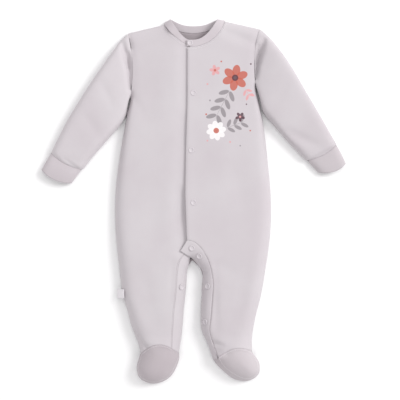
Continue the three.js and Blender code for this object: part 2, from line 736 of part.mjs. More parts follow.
// Sleeves and cuffs: tubes from the armhole to the hand
function addTube(name, rows, steps, color, armhole) {
  const [first, last] = [rows[0], rows[rows.length - 1]];
  const middle = (row) =>
    new THREE.Vector3((row.upX + row.lowX) / 2, (row.upY + row.lowY) / 2, SEAM_HEIGHT + WALL);
  const axis = middle(last).sub(middle(first)).setZ(0).normalize();
  const inside = middle(rows[Math.floor(rows.length / 2)]);
  const at = rowNumbers(0, rows.length - 1, steps);
  const rings = tube(rows, at, axis);
  const grid = armhole ? seatInArmhole(rings, at, armhole) : rings;
  addPiece(name, clothWall(weave([{ grid }], true), inside), color);
}
addTube("sleeve_right", SLEEVE_RIGHT, 2, JERSEY, {
  over: ARMHOLES[0],
  under: seamLine(BACK_RIGHT, ["outX", "outY"], 0, BACK_UNDERARM_ROW),
  outwards: -1,
});
addTube("sleeve_left", SLEEVE_LEFT, 2, JERSEY, {
  over: ARMHOLES[1],
  under: seamLine(BACK_LEFT, ["outX", "outY"], 0, BACK_UNDERARM_ROW),
  outwards: 1,
});
addTube("cuff_right", CUFF_RIGHT, 1, RIB_JERSEY);
addTube("cuff_left", CUFF_LEFT, 1, RIB_JERSEY);

// Parts of the neckband's row of stations with the edges that they are sewn to
const NECK_MIDDLE = new THREE.Vector3(0, 262, 5);
const NECK_EDGES = [
  { from: 1, to: 6, line: seamLine(FRONT_LEFT, ["inX", "inY"], 0, FRONT_NECK_LEFT) },
  { from: 9, to: 11, line: seamLine(BACK_LEFT, ["inX", "inY"], 0, BACK_NECK_ROW) },
  { from: 11, to: 13, line: seamLine(BACK_RIGHT, ["inX", "inY"], 0, BACK_NECK_ROW) },
  { from: 16, to: 21, line: seamLine(FRONT_RIGHT, ["inX", "inY"], 0, FRONT_NECK_RIGHT) },
];

// Neckband: a doubled strip round the neck, folded over at both shoulders
function neckbandGrid() {
  return rowNumbers(0, NECKBAND.length - 1, 2).map((row) => {
    const { freeX, freeY, seamX, seamY, lift, under } = atRow(NECKBAND, row);
    const edge = NECK_EDGES.find(({ from, to }) => row >= from && row <= to);
    const seam = edge ? besideSeam(seamX, seamY, edge.line, freeX, freeY, SEAM_GAP) : { x: seamX, y: seamY };
    return evenly(NECKBAND_COLUMNS, (f) => {
      const x = THREE.MathUtils.lerp(freeX, seam.x, f);
      const y = THREE.MathUtils.lerp(freeY, seam.y, f);
      return { x, y, z: (topHeight(x, y) - lapDrop(x, y) * under) * lift };
    });
  });
}
addPiece("neckband", clothWall(weave([{ grid: neckbandGrid() }]), NECK_MIDDLE, NECKBAND_WALL), RIB_JERSEY);

// Y of a front's arched lower end at a given x, carried on along the inseam band's end
function archHeight(x, front, band) {
  const [{ outX, outY, inX, inY, bow }, { seamX, seamY, edgeX, edgeY }] = [front.at(-1), band.at(-1)];
  const f = (x - outX) / (inX - outX);
  if (f <= 1) return THREE.MathUtils.lerp(outY, inY, clamp01(f)) + bow * 4 * clamp01(f) * (1 - clamp01(f));
  return THREE.MathUtils.lerp(seamY, edgeY, clamp01((x - seamX) / (edgeX - seamX)));
}

// Feet: the cap from the ankle's arched seam to its rim, and the sole under it
function addFoot(side, stations, front, band, ankle) {
  const rows = stations.map((row) => ({ ...row, archY: archHeight(row.archX, front, band) - ARCH_GAP }));
  const at = rowNumbers(0, rows.length - 1, 2);
  const cap = panel(rows, ["archX", "archY", "rimX", "rimY"], {
    at,
    columns: CAP_COLUMNS,
    crowd: -CROWD,
    height: topHeight,
    onEdge: (row, share) => share === 1,
  });
  addPiece(`foot_cap_${side}`, clothWall(weave([{ grid: cap }]), FAR_BELOW), CAP_JERSEY);
  const sole = at.map((row) => {
    const { soleX, soleY, rimX, rimY, rimZ } = atRow(rows, row);
    const f = row / (rows.length - 1);
    const heelX = THREE.MathUtils.lerp(ankle.startX, ankle.endX, f);
    const heelY = THREE.MathUtils.lerp(ankle.startY, ankle.endY, f);
    return SOLE_PROFILE.map(({ reach, z, climb }) => {
      const outX = THREE.MathUtils.lerp(heelX, soleX, reach);
      const outY = THREE.MathUtils.lerp(heelY, soleY, reach);
      return {
        x: THREE.MathUtils.lerp(outX, rimX, climb),
        y: THREE.MathUtils.lerp(outY, rimY, climb),
        z: THREE.MathUtils.lerp(z, rimZ - SEAM_GAP, climb),
        level: climb === 1,
      };
    });
  });
  addPiece(`sole_${side}`, clothWall(weave([{ grid: sole }]), FAR_ABOVE), CAP_JERSEY);
}
addFoot("right", FOOT_RIGHT, FRONT_RIGHT, BAND_RIGHT, ANKLE_RIGHT);
addFoot("left", FOOT_LEFT, FRONT_LEFT, BAND_LEFT, ANKLE_LEFT);

// Direction away from the upper layer at a point
function upFrom(x, y) {
  const slope = (before, after) => (after - before) / (2 * SNAP_BASE);
  const slopeX = slope(topHeight(x - SNAP_BASE, y), topHeight(x + SNAP_BASE, y));
  const slopeY = slope(topHeight(x, y - SNAP_BASE), topHeight(x, y + SNAP_BASE));
  return new THREE.Vector3(-slopeX, -slopeY, 1).normalize();
}

// Snaps: a raised ring round a shallow well, seated on the cloth
function addSnap({ name, x, y }) {
  const profile = SNAP_PROFILE.map(({ radius, z }) => new THREE.Vector2(radius * SNAP_RADIUS, z));
  const geometry = new THREE.LatheGeometry(profile, SNAP_SIDES).rotateX(Math.PI / 2);
  const snap = addPiece(name, geometry, SNAP_PEARL, { roughness: 0.35 });
  const up = upFrom(x, y);
  snap.quaternion.setFromUnitVectors(new THREE.Vector3(0, 0, 1), up);
  snap.position.set(x, y, topHeight(x, y)).addScaledVector(up, SNAP_SEAT);
}
SNAPS.forEach(addSnap);

// Side label: a bare tab standing out from the right leg's side seam
const labelGrid = LABEL.map(({ x, z }) => [LABEL_TOP, LABEL_BOTTOM].map((y) => ({ x, y, z })));
addPiece("side_label", clothWall(weave([{ grid: labelGrid }]), FAR_BELOW, LABEL_WALL), LABEL_TAPE, {
  roughness: 0.7,
});

export default sleepsuit;
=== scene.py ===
"""Dresses a footed baby sleepsuit in Blender: jersey, ribs, stitching, snaps and a chest print.

The garment lies on its back. Sizes in the tables are millimetres, X towards the wearer's left and
Y from the toes to the neck, and meshes are metres in the frame's own axes.
"""
import logging
import math
from dataclasses import dataclass, field
from enum import Enum
from typing import Sequence

import bmesh
import bpy
import numpy as np
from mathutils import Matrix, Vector, noise
from mathutils.bvhtree import BVHTree


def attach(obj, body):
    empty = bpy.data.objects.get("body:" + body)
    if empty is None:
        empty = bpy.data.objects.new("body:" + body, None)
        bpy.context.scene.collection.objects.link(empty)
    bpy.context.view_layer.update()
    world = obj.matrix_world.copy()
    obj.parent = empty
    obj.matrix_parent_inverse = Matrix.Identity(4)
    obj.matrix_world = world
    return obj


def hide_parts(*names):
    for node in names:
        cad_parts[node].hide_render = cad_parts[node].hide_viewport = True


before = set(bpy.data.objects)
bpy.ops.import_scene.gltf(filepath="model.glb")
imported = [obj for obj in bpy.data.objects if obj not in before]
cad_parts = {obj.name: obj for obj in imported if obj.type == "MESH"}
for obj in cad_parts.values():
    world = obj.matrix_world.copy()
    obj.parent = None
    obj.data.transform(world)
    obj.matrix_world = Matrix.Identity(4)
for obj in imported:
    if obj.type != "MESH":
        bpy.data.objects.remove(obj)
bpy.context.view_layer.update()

LOG = logging.getLogger("sleepsuit")

MM = 0.001
WALL = 1.6  # the cloth's thickness

# Folds act on the upper layer only. In millimetres: the height of its outside from which they act, how
# much higher they come to their full depth, and the lowest that they may bring it.
UPPER_LAYER, UPPER_BLEND, LOWEST = 4.4, 3.6, 5.5
ROOM_USED = 0.92  # the share of the way down to there that they may take
WAVE_ACROSS, WAVE_ALONG, WAVE_START = 38, 52, 0.3  # the slow waves of all the cloth

# A solid becomes a cage: points nearer than this many metres are one, two triangles within these
# angles are one face, and edges sharper than this stay this crisp.
SAME_POINT = 5e-6
FLAT_PAIR, SQUARE_PAIR = 0.8, 2.6
SHARP_EDGE, CRISPNESS = math.radians(50), 0.75

SEAM_FACING = 0.35  # how squarely a rim has to face its neighbour to be drawn up to it
SHADED_WRONG_SIDE_FACING = 0.2  # how far up a face has to look to show the cloth's wrong side, darkened as painted shade

Node = bpy.types.Node
Socket = bpy.types.NodeSocket
Material = bpy.types.Material
Point = tuple[float, float]
Colour = tuple[float, float, float, float]


class Slot(Enum):
    """The record's material slots."""

    JERSEY = "jersey"
    BAND = "band_jersey"
    SNAP = "snap"
    LABEL = "label_tape"


class Ink(Enum):
    """The print's inks, as linear colours."""

    TERRACOTTA = (0.50, 0.115, 0.075)
    GREY = (0.27, 0.245, 0.26)
    PLUM = (0.085, 0.035, 0.05)
    PINK = (0.68, 0.33, 0.34)
    WHITE = (0.82, 0.80, 0.80)


def linear(red: float, green: float, blue: float) -> Colour:
    """Turns a colour of 0 to 255 as a screen shows it into a linear one with alpha.

    Args:
        red: Red as shown.
        green: Green as shown.
        blue: Blue as shown.

    Returns:
        The linear colour.
    """
    parts = [v / 255 for v in (red, green, blue)]
    return (*(v / 12.92 if v < 0.04045 else ((v + 0.055) / 1.055) ** 2.4 for v in parts), 1.0)


def placed(name: str, data: bpy.types.ID) -> bpy.types.Object:
    """Makes an object of a mesh, a light or a camera and puts it in the scene."""
    made = bpy.data.objects.new(name, data)
    bpy.context.scene.collection.objects.link(made)
    return made


def baked(source: bpy.types.Object, name: str) -> bpy.types.Mesh:
    """Turns an object with modifiers into a plain mesh of this name and removes the object."""
    evaluated = source.evaluated_get(bpy.context.evaluated_depsgraph_get())
    mesh = bpy.data.meshes.new_from_object(evaluated)
    bpy.data.objects.remove(source)
    mesh.name = name
    return mesh


class Tree:
    """A node tree with short calls for adding and joining nodes."""

    def __init__(self, tree: bpy.types.NodeTree) -> None:
        """Keeps the tree.

        Args:
            tree: The shader or geometry tree to build in.
        """
        self.tree = tree

    def add(self, kind: str, inputs: dict | None = None, **settings) -> Node:
        """Adds a node.

        Args:
            kind: The node's type name.
            inputs: Values or output sockets for its inputs, by name or number.
            **settings: Properties of the node.

        Returns:
            The new node.
        """
        node = self.tree.nodes.new(kind)
        for name, value in settings.items():
            setattr(node, name, value)
        self.feed(node, inputs or {})
        return node

    def feed(self, node: Node, inputs: dict) -> None:
        """Gives a node's inputs, by name or number, their values or the sockets that lead there."""
        for key, value in inputs.items():
            socket = node.inputs[key]
            if isinstance(value, Socket):
                self.tree.links.new(value, socket)
            else:
                socket.default_value = value

    def math(self, operation: str, *values) -> Socket:
        """Adds a Math node and returns its output, given its operation and its values or sockets."""
        return self.add("ShaderNodeMath", dict(enumerate(values)), operation=operation).outputs[0]

    def blend(self, factor, first, second) -> Socket:
        """Adds a colour mix (inputs 0, 6 and 7) and returns its output, given its factor and both colours."""
        return self.add("ShaderNodeMix", {0: factor, 6: first, 7: second}, data_type="RGBA").outputs[2]


def new_material(name: str) -> tuple[Material, Tree, Node]:
    """Makes a material and returns it with its tree and its Principled BSDF."""
    made = bpy.data.materials.new(name)
    made.use_nodes = True
    return made, Tree(made.node_tree), made.node_tree.nodes["Principled BSDF"]


def shader_group(name: str, inputs: dict[str, tuple[str, object]], outputs: dict[str, str]) -> Tree:
    """Makes an empty shader node group with named sockets.

    Args:
        name: The group's name.
        inputs: Each input's socket type and default, by name.
        outputs: Each output's socket type, by name.

    Returns:
        The group's tree, with the Group Input as its first node and the Group Output as its second.
    """
    group = bpy.data.node_groups.new(name, "ShaderNodeTree")
    for label, (kind, default) in inputs.items():
        socket = group.interface.new_socket(label, in_out="INPUT", socket_type=kind)
        if default is not None:
            socket.default_value = default
    for label, kind in outputs.items():
        group.interface.new_socket(label, in_out="OUTPUT", socket_type=kind)
    tree = Tree(group)
    tree.add("NodeGroupInput")
    tree.add("NodeGroupOutput")
    return tree


def finish_group(tree: Tree, **outputs) -> bpy.types.NodeTree:
    """Joins sockets to a group's outputs, by name with spaces for underscores, and returns the group."""
    for label, socket in outputs.items():
        tree.tree.links.new(socket, tree.tree.nodes["Group Output"].inputs[label.replace("_", " ")])
    return tree.tree


def knit_group() -> bpy.types.NodeTree:
    """Builds the knit: columns of small loops, a soft nap over them and a slow unevenness of the dye.

    Returns:
        The group, with Height, Nap and Dye outputs of 0 to 1.
    """
    scalar = "NodeSocketFloat"
    inputs = {"Vector": ("NodeSocketVector", None), "Wale": (scalar, 0.001), "Course": (scalar, 0.0008),
              "Cloud": (scalar, 14.0)}
    tree = shader_group("knit", inputs, {"Height": scalar, "Nap": scalar, "Dye": scalar})
    given = tree.tree.nodes["Group Input"].outputs
    place = tree.add("ShaderNodeSeparateXYZ", {0: given["Vector"]}).outputs
    across = tree.math("DIVIDE", place[0], given["Wale"])
    column = tree.math("ABSOLUTE", tree.math("SINE", tree.math("MULTIPLY", across, math.pi)))
    lean = tree.math("PINGPONG", across, 0.5)
    up = tree.math("ADD", tree.math("DIVIDE", place[1], given["Course"]), lean)
    # columns make one half of the height and loops the other
    loop = tree.math("SINE", tree.math("MULTIPLY", up, 2 * math.pi))
    loop = tree.math("MULTIPLY_ADD", loop, 0.25, 0.25)
    height = tree.math("MULTIPLY_ADD", column, 0.5, loop)
    nap = tree.add("ShaderNodeTexNoise", {"Vector": given["Vector"], "Scale": 900.0, "Detail": 3.0})
    dye = tree.add("ShaderNodeTexNoise", {"Vector": given["Vector"], "Scale": given["Cloud"], "Detail": 4.0})
    return finish_group(tree, Height=height, Nap=nap.outputs[0], Dye=dye.outputs[0])


def oval_group() -> bpy.types.NodeTree:
    """Builds one printed oval, turned and placed in plan.

    Returns:
        The group, with a Mask output that is 1 inside the oval.
    """
    scalar = "NodeSocketFloat"
    inputs = {"Vector": ("NodeSocketVector", None), "X": (scalar, 0.0), "Y": (scalar, 0.0),
              "Turn": (scalar, 0.0), "Half Length": (scalar, 0.005), "Half Width": (scalar, 0.003),
              "Edge": (scalar, 0.0003)}
    tree = shader_group("printed_oval", inputs, {"Mask": scalar})
    given = tree.tree.nodes["Group Input"].outputs
    place = tree.add("ShaderNodeSeparateXYZ", {0: given["Vector"]}).outputs
    x = tree.math("SUBTRACT", place[0], given["X"])
    y = tree.math("SUBTRACT", place[1], given["Y"])
    cosine, sine = tree.math("COSINE", given["Turn"]), tree.math("SINE", given["Turn"])
    along = tree.math("ADD", tree.math("MULTIPLY", x, cosine), tree.math("MULTIPLY", y, sine))
    across = tree.math("SUBTRACT", tree.math("MULTIPLY", y, cosine), tree.math("MULTIPLY", x, sine))
    reach = tree.math("POWER", tree.math("DIVIDE", along, given["Half Length"]), 2.0)
    width = tree.math("POWER", tree.math("DIVIDE", across, given["Half Width"]), 2.0)
    radius = tree.math("SQRT", tree.math("ADD", reach, width))
    inside = tree.math("MULTIPLY", tree.math("SUBTRACT", 1.0, radius), given["Half Width"])
    mask = tree.add("ShaderNodeClamp", {0: tree.math("DIVIDE", inside, given["Edge"])}).outputs[0]
    return finish_group(tree, Mask=mask)


def thread_group() -> bpy.types.NodeTree:
    """Builds the twist of a sewing thread.

    Returns:
        The group, with a Height output of 0 to 1.
    """
    scalar = "NodeSocketFloat"
    tree = shader_group("thread_twist", {"Vector": ("NodeSocketVector", None), "Pitch": (scalar, 0.0006)},
                        {"Height": scalar})
    given = tree.tree.nodes["Group Input"].outputs
    place = tree.add("ShaderNodeSeparateXYZ", {0: given["Vector"]}).outputs
    run = tree.math("DIVIDE", tree.math("ADD", place[0], place[1]), given["Pitch"])
    wave = tree.math("SINE", tree.math("MULTIPLY", run, 2 * math.pi))
    return finish_group(tree, Height=tree.math("MULTIPLY_ADD", wave, 0.5, 0.5))


KNIT = knit_group()
OVAL = oval_group()
TWIST = thread_group()


@dataclass(frozen=True)
class PrintMark:
    """One oval of the chest print, in millimetres and degrees."""

    ink: Ink
    x: float
    y: float
    half_length: float
    half_width: float
    turn: float = 0.0


# a blossom's petals and a sprig's stem and leaves, as shares of the blossom's radius or the leaf's length
PETAL_OUT, PETAL_HALF_LENGTH, PETAL_HALF_WIDTH = 0.55, 0.45, 0.30
LEAF_STEP, LEAF_OUT, LEAF_HALF_LENGTH, LEAF_HALF_WIDTH = 0.75, 0.5, 0.46, 0.19
STEM_TIP, FIRST_LEAF = 0.6, 0.7
LEAF_LEAN = 48  # degrees from the stem
STEM_HALF_WIDTH = 0.45  # millimetres


def blossom(ink: Ink, x: float, y: float, size: float, petals: int, start: float = 0.0) -> list[PrintMark]:
    """Works out the petals of a round blossom.

    Args:
        ink: The petals' ink.
        x: The middle across.
        y: The middle along.
        size: The blossom's radius.
        petals: How many petals it has.
        start: The first petal's direction, in degrees.

    Returns:
        An oval for each petal.
    """
    found = []
    for k in range(petals):
        turn = start + 360 * k / petals
        out = PETAL_OUT * size
        place = x + out * math.cos(math.radians(turn)), y + out * math.sin(math.radians(turn))
        found.append(PrintMark(ink, *place, PETAL_HALF_LENGTH * size, PETAL_HALF_WIDTH * size, turn))
    return found


def sprig(ink: Ink, x: float, y: float, turn: float, leaves: int, size: float) -> list[PrintMark]:
    """Works out a straight sprig with leaves at both sides.

    Args:
        ink: The sprig's ink.
        x: The stem's foot across.
        y: The stem's foot along.
        turn: The stem's direction, in degrees.
        leaves: How many pairs of leaves it has.
        size: The length of a leaf.

    Returns:
        An oval for the stem and for each leaf.
    """
    ahead = math.cos(math.radians(turn)), math.sin(math.radians(turn))
    length = size * (LEAF_STEP * leaves + STEM_TIP)
    middle = x + ahead[0] * length / 2, y + ahead[1] * length / 2
    found = [PrintMark(ink, *middle, length / 2, STEM_HALF_WIDTH, turn)]
    for pair in range(leaves):
        root = LEAF_STEP * size * (pair + FIRST_LEAF)
        for side in (-1, 1):
            lean = turn + side * LEAF_LEAN
            out = LEAF_OUT * size
            place = (x + ahead[0] * root + out * math.cos(math.radians(lean)),
                     y + ahead[1] * root + out * math.sin(math.radians(lean)))
            found.append(PrintMark(ink, *place, LEAF_HALF_LENGTH * size, LEAF_HALF_WIDTH * size, lean))
    return found


@dataclass(frozen=True)
class ChestPrint:
    """A generic print of blossoms, leafy sprigs and dots on the wearer's left chest."""

    # ink, x, y, direction, pairs of leaves, leaf's length
    sprigs: tuple[tuple, ...] = (
        (Ink.GREY, 62, 184, 242, 4, 19),
        (Ink.GREY, 46, 114, 20, 3, 15),
        (Ink.PINK, 80, 182, 300, 2, 11),
    )
    # ink, x, y, radius, petals, first petal's direction
    blossoms: tuple[tuple, ...] = (
        (Ink.TERRACOTTA, 66, 196, 21, 6, 20),
        (Ink.WHITE, 36, 112, 16, 8, 10),
        (Ink.PINK, 34, 208, 9, 5, 30),
        (Ink.PLUM, 74, 134, 8, 5, 54),
    )
    # ink, x, y, radius: the blossoms' middles, then the dots around
    dots: tuple[tuple[Ink, float, float, float], ...] = (
        (Ink.PLUM, 66, 196, 5.2),
        (Ink.TERRACOTTA, 36, 112, 4.6),
        (Ink.PINK, 74, 134, 1.9),
        (Ink.TERRACOTTA, 34, 208, 2.2),
        (Ink.PINK, 22.0, 186.0, 1.6),
        (Ink.TERRACOTTA, 44.0, 222.0, 1.5),
        (Ink.PINK, 93.0, 170.0, 1.7),
        (Ink.GREY, 26.0, 160.0, 1.5),
        (Ink.TERRACOTTA, 20.0, 138.0, 1.6),
        (Ink.PLUM, 91.0, 218.0, 1.5),
        (Ink.PINK, 58.0, 94.0, 1.6),
        (Ink.TERRACOTTA, 90.0, 112.0, 1.4),
        (Ink.GREY, 74.0, 88.0, 1.3),
        (Ink.PINK, 22.0, 96.0, 1.5),
        (Ink.PLUM, 84.0, 154.0, 1.3),
    )
    cover: float = 0.9

    def marks(self) -> list[PrintMark]:
        """Works out every oval, in the order in which the inks are laid."""
        found = [mark for row in self.sprigs for mark in sprig(*row)]
        found += [mark for row in self.blossoms for mark in blossom(*row)]
        return found + [PrintMark(ink, x, y, size, size) for ink, x, y, size in self.dots]

    def paint(self, tree: Tree, vector: Socket, cloth: Socket) -> tuple[Socket, Socket]:
        """Lays the inks over a cloth's colour.

        Args:
            tree: The material's tree.
            vector: The place of each point, in metres.
            cloth: The colour under the print.

        Returns:
            The printed colour, and a mask that is 1 where there is ink.
        """
        colour, printed = cloth, 0.0
        for mark in self.marks():
            values = {"Vector": vector, "X": mark.x * MM, "Y": mark.y * MM,
                      "Turn": math.radians(mark.turn), "Half Length": mark.half_length * MM,
                      "Half Width": mark.half_width * MM}
            oval = tree.add("ShaderNodeGroup", values, node_tree=OVAL)
            mask = tree.math("MULTIPLY", oval.outputs[0], self.cover)
            colour = tree.blend(mask, colour, (*mark.ink.value, 1.0))
            printed = tree.math("MAXIMUM", printed, mask)
        return colour, printed


@dataclass(frozen=True)
class Jersey:
    """A soft cotton jersey: its colour, its knit's pitch and relief in millimetres, and its nap.

    loop_shade is how much of the shade shows between the loops, nap_gloss how far the nap varies the
    roughness, and print_gloss how much smoother the ink is.
    """

    name: str
    colour: Colour
    shade: Colour
    wale: float = 1.1
    course: float = 0.9
    relief: float = 0.10
    nap: float = 0.10
    roughness: float = 0.92
    turn: float = 0.0
    chest_print: ChestPrint | None = None
    loop_shade: float = 0.22
    nap_gloss: float = 0.08
    print_gloss: float = 0.25
    bump: float = 0.6
    sheen: float = 0.18
    sheen_roughness: float = 0.6
    specular: float = 0.25

    def material(self) -> Material:
        """Builds the cloth's material, with its print where it has one."""
        made, tree, shader = new_material(self.name)
        place = tree.add("ShaderNodeTexCoord").outputs["Object"]
        turned = tree.add("ShaderNodeMapping", {"Vector": place, "Rotation": (0, 0, math.radians(self.turn))})
        values = {"Vector": turned.outputs[0], "Wale": self.wale * MM, "Course": self.course * MM}
        knit = tree.add("ShaderNodeGroup", values, node_tree=KNIT)
        dye = tree.add("ShaderNodeMapRange", {"Value": knit.outputs["Dye"], "From Min": 0.3, "From Max": 0.7})
        colour = tree.blend(dye.outputs[0], self.colour, self.shade)
        loop = tree.math("MULTIPLY", knit.outputs["Height"], self.loop_shade)
        colour = tree.blend(tree.math("SUBTRACT", self.loop_shade, loop), colour, self.shade)
        rough = tree.math("MULTIPLY_ADD", knit.outputs["Nap"], self.nap_gloss,
                          self.roughness - self.nap_gloss / 2)
        if self.chest_print:
            colour, printed = self.chest_print.paint(tree, place, colour)
            rough = tree.math("MULTIPLY_ADD", printed, -self.print_gloss, rough)
        height = tree.math("MULTIPLY", knit.outputs["Height"], self.relief)
        height = tree.math("MULTIPLY_ADD", knit.outputs["Nap"], self.nap, height)
        bump = tree.add("ShaderNodeBump", {"Height": height, "Distance": MM, "Strength": self.bump})
        tree.feed(shader, {"Base Color": colour, "Roughness": rough, "Normal": bump.outputs[0],
                           "Sheen Weight": self.sheen, "Sheen Roughness": self.sheen_roughness,
                           "Specular IOR Level": self.specular})
        return made


@dataclass(frozen=True)
class Lacquer:
    """The snaps' pearly lacquer in the cloth's colour, rougher by its wear where it is rubbed."""

    name: str = "snap_pearl"
    colour: Colour = linear(203, 197, 201)
    rubbed: Colour = linear(194, 187, 191)
    roughness: float = 0.55
    wear: float = 0.12
    coat: float = 0.06

    def material(self) -> Material:
        """Builds the lacquer, a little rubbed in patches."""
        made, tree, shader = new_material(self.name)
        place = tree.add("ShaderNodeTexCoord").outputs["Object"]
        patches = tree.add("ShaderNodeTexNoise", {"Vector": place, "Scale": 700.0, "Detail": 2.0})
        patches = {"Value": patches.outputs[0], "From Min": 0.45, "From Max": 0.7}
        mask = tree.add("ShaderNodeMapRange", patches).outputs[0]
        tree.feed(shader, {"Base Color": tree.blend(mask, self.colour, self.rubbed),
                           "Roughness": tree.math("MULTIPLY_ADD", mask, self.wear, self.roughness),
                           "Coat Weight": self.coat})
        return made


@dataclass(frozen=True)
class Thread:
    """Sewing thread in the cloth's colour, darker in its hollows; its relief is in millimetres."""

    name: str
    colour: Colour
    hollows: float = 0.8
    relief: float = 0.1
    roughness: float = 0.6

    def material(self) -> Material:
        """Builds the thread with its twist."""
        made, tree, shader = new_material(self.name)
        place = tree.add("ShaderNodeTexCoord").outputs["Object"]
        twist = tree.add("ShaderNodeGroup", {"Vector": place}, node_tree=TWIST)
        shade = tuple(self.hollows * v for v in self.colour[:3]) + (1.0,)
        bump = tree.add("ShaderNodeBump", {"Height": twist.outputs[0], "Distance": self.relief * MM})
        tree.feed(shader, {"Base Color": tree.blend(twist.outputs[0], shade, self.colour),
                           "Normal": bump.outputs[0], "Roughness": self.roughness})
        return made


def shared(finish: Lacquer | Thread) -> Material:
    """Finds the material of a finish that several pieces share, or builds it."""
    return bpy.data.materials.get(finish.name) or finish.material()


def arch(start: Point, end: Point, bow: float, drop: float = 0.0, points: int = 9) -> tuple[Point, ...]:
    """Draws an ankle's arched seam.

    Args:
        start: The seam's end at the outer side.
        end: Its end at the inner side.
        bow: How far its middle rises.
        drop: How far below the seam the line runs.
        points: How many points it has.

    Returns:
        The seam's points in plan.
    """
    return tuple((start[0] + (end[0] - start[0]) * f,
                  start[1] + (end[1] - start[1]) * f + 4 * bow * f * (1 - f) - drop)
                 for f in np.linspace(0, 1, points))


def beside(plan: np.ndarray, route: Sequence[Point]) -> tuple[np.ndarray, np.ndarray]:
    """Measures how points lie beside a route.

    Args:
        plan: Points in plan, in millimetres, one row each.
        route: The route's corners.

    Returns:
        Each point's distance from the route, and the share of the route's length before it.
    """
    corners = np.array(route, dtype=float)
    runs = np.diff(corners, axis=0)
    before = np.concatenate(([0], np.cumsum(np.linalg.norm(runs, axis=1))))
    nearest, share = np.full(len(plan), np.inf), np.zeros(len(plan))
    for k, (start, run) in enumerate(zip(corners, runs)):
        along = np.clip((plan - start) @ run / (run @ run), 0, 1)
        away = np.linalg.norm(plan - start - along[:, None] * run, axis=1)
        closer = away < nearest
        nearest[closer] = away[closer]
        share[closer] = (before[k] + along * (before[k + 1] - before[k]))[closer] / before[-1]
    return nearest, share


@dataclass(frozen=True)
class Fold:
    """A soft trough, or a ridge where depth is negative, along a route in plan.

    Its sizes are millimetres. cloth names the piece that it is on where it isn't on all, and blunt is
    how deep it is at its ends, where 0 tapers to nothing.
    """

    route: tuple[Point, ...]
    depth: float
    width: float
    cloth: str = ""
    blunt: float = 0.12

    def lowering(self, plan: np.ndarray) -> np.ndarray:
        """Works out how far the fold lowers each point.

        Args:
            plan: Points in plan, in millimetres, one row each.

        Returns:
            The depth at each point, in millimetres.
        """
        nearest, share = beside(plan, self.route)
        taper = np.sin(np.pi * np.clip(self.blunt + (1 - 2 * self.blunt) * share, 0, 1))
        return self.depth * taper * np.exp(-((nearest / self.width) ** 2))


BODY = dict(colour=linear(200, 195, 198), shade=linear(194, 187, 191))
BANDING = dict(colour=linear(198, 191, 195), shade=linear(189, 181, 185), wale=1.6, course=1.1, relief=0.16)

# the neck's edge and the feet's rims
NECK_LEFT = ((-9.7, 246.7), (-3.4, 246.4), (9.2, 248.2), (23, 253.8), (34.2, 262.7), (43.1, 274.4),
             (48.6, 285))
NECK_RIGHT = ((-45.5, 280.2), (-38, 271.2), (-25.7, 260.3), (-16.1, 253.4))
RIM_RIGHT = ((-86.6, -251), (-90.3, -263.8), (-87.8, -277.6), (-76.9, -286.2), (-65, -289.4),
             (-52.2, -287.2), (-37.2, -278.9), (-27, -260.6), (-23.1, -250.9))
RIM_LEFT = ((40.8, -253.6), (42.8, -257.6), (48.9, -264.8), (60.4, -273.8), (73.5, -280.8),
            (85.4, -284), (96.2, -280.8), (104.2, -271.5), (103.9, -259.4), (98.3, -247.9))
# the ankles' arched seams: both ends and the bow
ARCH_RIGHT = ((-84.1, -242.4), (-34.6, -233.1), 10.5)
ARCH_LEFT = ((92.2, -238.6), (39.5, -247.8), 10.0)
# where the bands are sewn to the fronts, from the crotch to the foot
BAND_SEAM_LEFT = ((9.4, -73.1), (19.9, -89.8), (26.6, -108.3), (30.3, -132.6), (28.7, -156.6),
                  (27, -182.2), (24.4, -204.6), (28.7, -222.2), (38, -248.2))
BAND_SEAM_RIGHT = ((-15.4, -86.2), (-22.8, -97.4), (-25.5, -113.4), (-26.5, -134.2), (-28.6, -156.6),
                   (-31.1, -175.8), (-32.2, -196.6), (-33.2, -214.2), (-33.7, -233.6))

